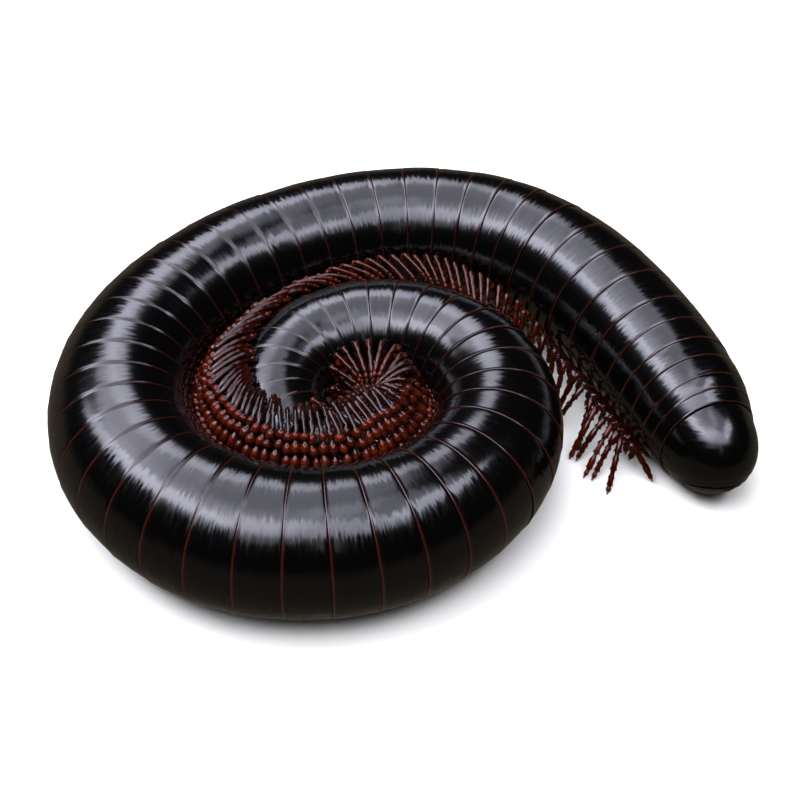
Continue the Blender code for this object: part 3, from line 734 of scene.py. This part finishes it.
# The collar plate behind the head, one more hoop of the shell, longer than the rest and with
# a rolled front rim that overlaps the back of the head.
COLLUM_PROFILE = (
    (2.02, -0.30, 0.5, 0.02),
    (2.06, -0.22, 0.8, 0.0),
    (2.04, -0.12, 0.5, 0.0),
    (1.94, -0.07, 0.1, 0.0),
    (1.84, -0.10, 0.0, 0.0),
    (1.70, -0.07, 0.0, 0.0),
    (1.40, -0.02, 0.0, 0.0),
    (1.00, 0.01, 0.0, 0.0),
    (0.60, 0.02, 0.0, 0.0),
    (0.30, 0.015, 0.0, 0.0),
    (0.18, 0.008, 0.2, 0.0),
    (0.14, 0.012, 0.9, 0.0),
    (0.08, 0.020, 1.0, 0.0),
    (0.03, 0.010, 1.0, 0.0),
    (0.00, -0.015, 1.0, 0.0),
    (0.00, -0.070, 0.7, 0.02),
    (0.06, -0.125, 0.2, 0.04),
    (0.50, -0.34, 0.0, 0.1),
    (1.20, -0.50, 0.0, 0.1),
    (1.90, -0.42, 0.2, 0.05),
)


def collar(profile):
    """The hoop formula once more, with the body's taper toward the head read off its girth."""
    along, height, brown, least = (np.array(column)[:, None] for column in zip(*profile))
    turn = np.linspace(0.0, 2 * math.pi, RING_COLUMNS + 1)[None, :]
    s = TRUNK_LENGTH + along * MM + 0 * turn
    middle, _, inward = body_frame(s)
    wide = (girth(s) * (0.99 - 0.035 * (along / 2.0) ** 3)) + height * MM
    points = middle + inward * (wide * np.cos(turn))[..., None]
    points[..., 2] = np.maximum(middle[..., 2] + wide * np.sin(turn), least * MM)
    spread = np.stack([along + 0 * turn + 61.0, turn * 4.0 + 0 * along], axis=-1)[None]
    marks = np.broadcast_to(brown, wide.shape)
    return points[None, :, :-1], marks[None, :, :-1], np.concatenate([spread, spread[:, :1]], axis=1)


grid, marks, spread = collar(COLLUM_PROFILE)
collar_plate = piece_from_grids("collar_plate", grid, shell_black, True, marks, spread)
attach(collar_plate, "root")
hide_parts("collum")

# The head capsule, hidden in the middle of the coil: a glossy black-brown dome with a seam
# down the forehead, swollen cheeks over the jaws and a notched upper lip.
HEAD_STATIONS = (0.0, 0.8, 1.8, 2.8, 3.6, 4.0)
HEAD_DEPTHS = (2.6, 3.0, 3.0, 2.6, 1.8, 1.0)
HEAD_WIDTHS = (2.75, 3.15, 3.25, 2.8, 2.0, 1.2)
HEAD_TUCK = math.radians(14.0)
HEAD_START = TRUNK_LENGTH + 0.16 * MM + 2.0 * MM + 0.32 * MM
neck, neck_ahead, neck_inward = (row[0] for row in body_frame(np.array([HEAD_START])))
nose = neck_ahead * math.cos(HEAD_TUCK) + neck_inward * math.sin(HEAD_TUCK)
crown = -neck_inward


def head_place(along, angle, depth, width):
    """Place on the head: along the nose axis, and at an angle from the crown over the left cheek."""
    along, angle, depth, width = np.broadcast_arrays(along, angle, depth, width)
    place = neck + nose * (along * MM)[..., None] + crown * (depth * MM * np.cos(angle))[..., None]
    place[..., 2] = np.maximum(neck[2] + width * MM * np.sin(angle), 0.0)
    return place


def head_skin(along, angle):
    """Half depth and half width of the head there, with its swellings and grooves."""
    depth = smooth_table(HEAD_STATIONS, HEAD_DEPTHS, along)
    width = smooth_table(HEAD_STATIONS, HEAD_WIDTHS, along)
    from_crown = np.abs((angle + math.pi) % (2 * math.pi) - math.pi)
    cheek = 0.10 * np.exp(-(((from_crown - 1.9) / 0.45) ** 2) - ((along - 2.2) / 0.9) ** 2)
    seam = -0.07 * np.exp(-((from_crown / 0.035) ** 2)) * (along < 2.6)
    socket = -0.16 * np.exp(-(((from_crown - 1.05) / 0.13) ** 2) - ((along - 2.95) / 0.26) ** 2)
    lip = -0.10 * np.exp(-((from_crown / 0.16) ** 2) - ((along - 3.9) / 0.2) ** 2)
    jaw_line = -0.08 * np.exp(-(((from_crown - 1.42 - 0.12 * (along - 2.0)) / 0.05) ** 2))
    change = cheek + seam + socket + lip + jaw_line - 0.05
    return depth + change, width + change


def head_finish():
    """Black-brown lacquer, redder toward the lip, with faint mottles and pits."""
    material, node, join = new_finish("head_cuticle", 0.24)
    mark = node("ShaderNodeAttribute", attribute_name="mark").outputs["Fac"]
    place = node("ShaderNodeTexCoord").outputs["Object"]
    mottle = node("ShaderNodeTexNoise", {"Vector": place, "Scale": 900.0, "Detail": 4.0}).outputs["Fac"]
    moved = maths(node, "MULTIPLY_ADD", mottle, 0.3, -0.15)
    tone = maths(node, "ADD", mark, moved)
    ramp = node("ShaderNodeValToRGB", {"Fac": tone})
    steps = ((0.0, (0.002, 0.0015, 0.0015)), (0.5, (0.009, 0.0028, 0.0018)), (1.0, (0.034, 0.009, 0.0035)))
    colour_steps(ramp.color_ramp, steps)
    join(ramp.outputs["Color"], "Base Color")
    bump = node("ShaderNodeBump", {"Height": mottle, "Strength": 0.2, "Distance": 0.03 * MM})
    join(bump.outputs["Normal"], "Normal")
    return material


head_cuticle = head_finish()
blunt_end = 3.6 + 0.36 * np.sin(np.linspace(0.15, 1.0, 9) * math.pi / 2)
along = np.concatenate([np.linspace(0.03, 3.6, 40), blunt_end])[:, None]
around = np.arange(96)[None, :] * 2 * math.pi / 96
depth, width = head_skin(along, around)
marks = 0.05 + 0.75 * np.clip((along - 2.9) / 1.1, 0.0, 1.0) + 0 * around
grid = head_place(along, -around, depth, width)[None]
capsule = piece_from_grids("head_capsule", grid, head_cuticle, marks=marks[None])
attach(capsule, "root")
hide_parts("head")

# The eyes: on each side a small oval patch of some two dozen clear, domed lenses set in
# rows in the black cuticle, on a low mound behind the feeler's socket.
EYE_ALONG = 1.4
EYE_ANGLE = math.radians(62.0)
LENS_RADIUS = 0.10
LENS_PITCH = 0.19


def eye_finish():
    """Near-black clear lens: very smooth, with a faint brown depth that varies from lens to lens."""
    material, node, join = new_finish("eye_lens", 0.06)
    place = node("ShaderNodeTexCoord").outputs["Object"]
    cells = node("ShaderNodeTexNoise", {"Vector": place, "Scale": 3500.0, "Detail": 1.0}).outputs["Fac"]
    ramp = node("ShaderNodeValToRGB", {"Fac": cells})
    colour_steps(ramp.color_ramp, ((0.3, (0.002, 0.002, 0.003)), (0.75, (0.02, 0.010, 0.006))))
    join(ramp.outputs["Color"], "Base Color")
    return material


def eye_patch(sign):
    """A low oval mound and its lenses. The mound is a dome whose height falls as one less the square of
    the way from its middle, and a lens is a half ball that stands on it, on a three-way lattice."""
    spot = head_place(EYE_ALONG, sign * EYE_ANGLE, 2.98, 3.15)
    facing = unit(head_place(EYE_ALONG, sign * EYE_ANGLE, 2.0, 2.0) - head_place(EYE_ALONG, 0.0, 0.0, 0.0))
    length_way = unit(nose - facing * (nose @ facing))
    side_way = np.cross(facing, length_way)
    ring = np.linspace(1.0, 0.06, 9)[:, None]
    turn = np.arange(28)[None, :] * 2 * math.pi / 28
    p, q = 0.66 * ring * np.cos(turn), 0.50 * ring * np.sin(turn)
    rise = 0.42 * (1.0 - ring**2) ** 0.7 + 0 * turn

    def stand(p, q, rise):
        return spot + (length_way * p[..., None] + side_way * q[..., None] + facing * rise[..., None]) * MM

    mound = stand(p, q, rise - 0.04)
    a, b = np.meshgrid(np.arange(-5, 6), np.arange(-5, 6), indexing="ij")
    x = ((a + b * 0.5) * LENS_PITCH).ravel()
    y = (b * 0.866 * LENS_PITCH).ravel()
    inside = (x / 0.60) ** 2 + (y / 0.44) ** 2 < 0.93
    x, y = x[inside], y[inside]
    far = np.sqrt((x / 0.66) ** 2 + (y / 0.50) ** 2)
    foot = 0.42 * (1.0 - far**2) ** 0.7 - 0.05
    lift = np.linspace(0.0, math.pi / 2 * 0.9, 4)[None, :, None]
    turn = np.arange(8)[None, None, :] * 2 * math.pi / 8
    flat = LENS_RADIUS * np.cos(lift)
    p = x[:, None, None] + flat * np.cos(turn)
    q = y[:, None, None] + flat * np.sin(turn)
    rise = foot[:, None, None] + LENS_RADIUS * 0.8 * np.sin(lift) + 0 * turn
    return mound[None], stand(p, q, rise)


eye_lens = eye_finish()
for side, sign in (("left", 1.0), ("right", -1.0)):
    mound, lenses = eye_patch(sign)
    for name, grid, finish in (("eye_mound_", mound, head_cuticle), ("eye_lenses_", lenses, eye_lens)):
        eye = piece_from_grids(name + side, grid, finish, marks=np.zeros(grid.shape[:3]))
        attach(eye, "root")
        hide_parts("eye_" + side)

# The feelers: seven short club-shaped joints each, mahogany like the legs, laid back along the
# cheeks. Corners of a route: millimetres along the head, degrees from the crown, way out.
FEELER_ROOT = ((2.75, 60, 2.6), (3.0, 62, 3.3))
ANTENNA_LEFT = (*FEELER_ROOT, (3.3, 80, 3.7), (2.3, 96, 4.1), (0.9, 104, 4.3), (-0.6, 108, 4.6))
ANTENNA_RIGHT = (*FEELER_ROOT, (3.9, 95, 3.0), (3.5, 124, 3.6), (2.3, 139, 4.0), (0.9, 140, 4.1))
FEELER_ROWS = (0.03, 0.3, 0.62, 0.84, 0.97)
FEELER_SWELL = (0.55, 0.72, 0.95, 1.05, 0.72)
FEELER_RADII = (0.20, 0.24, 0.25, 0.26, 0.27, 0.27, 0.20)
FEELER_SHADES = (0.6, 0.55, 0.5, 0.5, 0.48, 0.45, 0.2)
for side, sign, route in (("left", 1.0, ANTENNA_LEFT), ("right", -1.0, ANTENNA_RIGHT)):
    corners = np.array(route)
    way = np.append(0.0, np.cumsum(np.linalg.norm(np.diff(corners * [1.0, 0.06, 1.0], axis=0), axis=1)))
    even = np.linspace(0.0, way[-1], 8)
    place_along, place_angle, off = (np.interp(even, way, corners[:, k]) for k in range(3))
    joints = head_place(place_along, np.radians(sign * place_angle), off, off)
    joints[:, 2] = np.maximum(joints[:, 2], 0.3 * MM)
    radii, shades = np.array([FEELER_RADII]) * MM, np.array([FEELER_SHADES])
    grid, marks = limb_tubes(joints[None], radii, nose[None], shades, FEELER_ROWS, FEELER_SWELL, 14)
    feeler = piece_from_grids("feeler_" + side, grid, leg_mahogany, marks=marks)
    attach(feeler, "root")
    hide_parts("antenna_" + side)

# The plate under the mouth, brown and flat, grooved into a middle piece and two side pieces.
along = np.concatenate([[0.72], np.linspace(0.72, 2.68, 26), [2.68]])[:, None]
turn = np.radians(180.0 + np.linspace(-23.5, 23.5, 41))[None, :]
aside = np.abs(np.degrees(turn) - 180.0)
groove = 0.10 * np.exp(-(((aside - 6.0 - 3.0 * (2.7 - along)) / 1.2) ** 2))
groove = groove + 0.08 * np.exp(-((aside / 0.8) ** 2)) * (along > 1.7)
outer = np.interp(along, (0.7, 1.7, 2.7), (3.76, 3.80, 3.42)) - groove - 0.08 * (aside / 24.0) ** 4
inner = np.interp(along, (0.7, 1.7, 2.7), (3.30, 3.30, 2.96)) + 0 * turn
skin = head_place(along, -turn, outer, outer)
under = head_place(along, -turn, inner, inner)[:, ::-1]
grid = np.concatenate([skin, under], axis=1)[None]
marks = 0.75 + 0 * grid[..., 0]
chin = piece_from_grids("chin_plate", grid, head_cuticle, marks=marks)
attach(chin, "root")
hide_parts("gnathochilarium")

# The studio floor: a wide pale disc, a hair under the body so that the two never share a plane.
FLOOR_LEVEL = -0.03 * MM
floor_mesh = bpy.data.meshes.new("floor")
turn = np.arange(64) * 2 * math.pi / 64
floor_ring = np.stack([2.2 * np.cos(turn), 2.2 * np.sin(turn), np.full(64, FLOOR_LEVEL)], axis=1)
floor_mesh.from_pydata(floor_ring, [], [list(range(64))])
floor_paint, node, join = new_finish("floor_paint", 0.8)
grain = node("ShaderNodeTexNoise", {"Scale": 60.0, "Vector": node("ShaderNodeTexCoord").outputs["Object"]})
tint = node("ShaderNodeValToRGB", {"Fac": grain.outputs["Fac"]})
colour_steps(tint.color_ramp, ((0.0, (0.82, 0.82, 0.70)), (1.0, (0.85, 0.85, 0.73))))
join(tint.outputs["Color"], "Base Color")
floor_mesh.materials.append(floor_paint)
floor = bpy.data.objects.new("floor", floor_mesh)
bpy.context.scene.collection.objects.link(floor)
floor.visible_glossy = False

# The light: an open patch of cloudy sky over a dark room, as the shell mirrors it in the photograph.
# Each area of light is an oval in the flat map a = x / (1 + z), b = y / (1 + z) of directions:
# middle a and b, half length, half width, turn in degrees, softness of its edge, strength.
SKY_AREAS = (
    (-0.33, 0.06, 0.31, 0.085, -60.0, 0.40, 7.8),
    (-0.26, 0.07, 0.30, 0.13, -60.0, 0.80, 3.0),
    (-0.07, 0.47, 0.13, 0.11, 20.0, 0.45, 5.2),
    (-0.21, 0.30, 0.18, 0.13, 52.0, 0.60, 2.6),
    (-0.14, 0.11, 0.42, 0.25, 84.0, 0.20, 2.8),
    (0.15, 0.06, 0.16, 0.10, 0.0, 0.40, 2.3),
    (0.03, -0.18, 0.28, 0.125, 2.0, 0.35, 4.6),
    (0.02, -0.12, 0.28, 0.15, 2.0, 0.80, 2.2),
    (0.28, 0.00, 0.18, 0.065, 68.0, 0.4, 8.0),
    (-0.09, -0.33, 0.12, 0.06, 0.0, 0.7, 1.6),
    (0.09, -0.37, 0.03, 0.12, 12.0, 0.8, 1.4),
    (-0.95, 0.75, 0.55, 0.45, 40.0, 0.9, 0.015),
)
SKY_TINT = (0.83, 0.83, 1.0)
world = bpy.data.worlds.new("studio")
bpy.context.scene.world = world
world.use_nodes = True
sky_tree = world.node_tree
sky_node = node_maker(sky_tree)
direction = sky_node("ShaderNodeTexCoord").outputs["Generated"]
parts = sky_node("ShaderNodeSeparateXYZ", {0: direction})
over = maths(sky_node, "ADD", parts.outputs["Z"], 1.02)
map_a = maths(sky_node, "DIVIDE", parts.outputs["X"], over)
map_b = maths(sky_node, "DIVIDE", parts.outputs["Y"], over)
flat_map = sky_node("ShaderNodeCombineXYZ", {0: map_a, 1: map_b}).outputs[0]
total = None
for middle_a, middle_b, half_long, half_wide, turned, soft, strength in SKY_AREAS:
    oval = sky_node(
        "ShaderNodeMapping",
        {
            "Vector": flat_map,
            "Location": (middle_a, middle_b, 0.0),
            "Rotation": (0.0, 0.0, math.radians(turned)),
            "Scale": (half_long, half_wide, 1.0),
        },
        vector_type="TEXTURE",
    )
    reach = sky_node("ShaderNodeVectorMath", {0: oval.outputs[0]}, operation="LENGTH").outputs["Value"]
    edge = (1.0 + soft / 2, 1.0 - soft)
    glow = remapped(sky_node, reach, *edge, 0.0, strength, interpolation_type="SMOOTHSTEP")
    if total is not None:
        glow = maths(sky_node, "ADD", total, glow)
    total = glow
low_light = remapped(sky_node, parts.outputs["Z"], 0.1, -0.1, 0.0, 1.0)
open_sky = sky_node("ShaderNodeVectorMath", {0: SKY_TINT, "Scale": total}, operation="SCALE").outputs[0]
room = sky_node("ShaderNodeMix", {"Factor": low_light}, data_type="RGBA")
room.inputs["A"].default_value = (0.014, 0.011, 0.008, 1.0)
room.inputs["B"].default_value = (0.13, 0.11, 0.085, 1.0)
both = sky_node("ShaderNodeVectorMath", {0: open_sky, 1: room.outputs["Result"]}, operation="ADD").outputs[0]
sky_tree.links.new(both, sky_tree.nodes["Background"].inputs["Color"])

# The studio wall: a pale dome far round the model that only the camera sees.
wall_turn = np.arange(64)[None, :] * 2 * math.pi / 64
wall_lift = np.linspace(0.0, math.pi / 2, 13)[:-1, None]
wall_grid = np.stack(
    [
        2.19 * np.cos(wall_lift) * np.cos(wall_turn),
        2.19 * np.cos(wall_lift) * np.sin(wall_turn),
        1.9 * np.sin(wall_lift) + 0 * wall_turn - 0.002,
    ],
    axis=-1,
)
wall_paint = bpy.data.materials.new("wall_paint")
wall_paint.use_nodes = True
wall_glow = wall_paint.node_tree.nodes.new("ShaderNodeEmission")
wall_glow.inputs["Color"].default_value = (0.93, 0.93, 0.93, 1.0)
wall_paint.node_tree.links.new(wall_glow.outputs[0], wall_paint.node_tree.nodes["Material Output"].inputs[0])
wall = piece_from_grids("backdrop", wall_grid[None], wall_paint)
wall.visible_glossy = False
wall.visible_diffuse = False
wall.visible_shadow = False
wall.visible_transmission = False

# The camera, forty-five degrees up.
lens = bpy.data.cameras.new("camera")
lens.lens = 72.0
lens.sensor_width = 36.0
lens.clip_start = 0.005
camera = bpy.data.objects.new("camera", lens)
bpy.context.scene.collection.objects.link(camera)
CAMERA_TARGET = (-0.24 * MM, -3.29 * MM, 5.38 * MM)
CAMERA_DISTANCE = 129.0 * MM
tilt = math.radians(45.0)
camera.location = (
    CAMERA_TARGET[0],
    CAMERA_TARGET[1] - CAMERA_DISTANCE * math.cos(tilt),
    CAMERA_TARGET[2] + CAMERA_DISTANCE * math.sin(tilt),
)
camera.rotation_euler = (math.radians(90.0) - tilt, 0.0, 0.0)
bpy.context.scene.camera = camera
bpy.context.scene.view_settings.view_transform = "Standard"
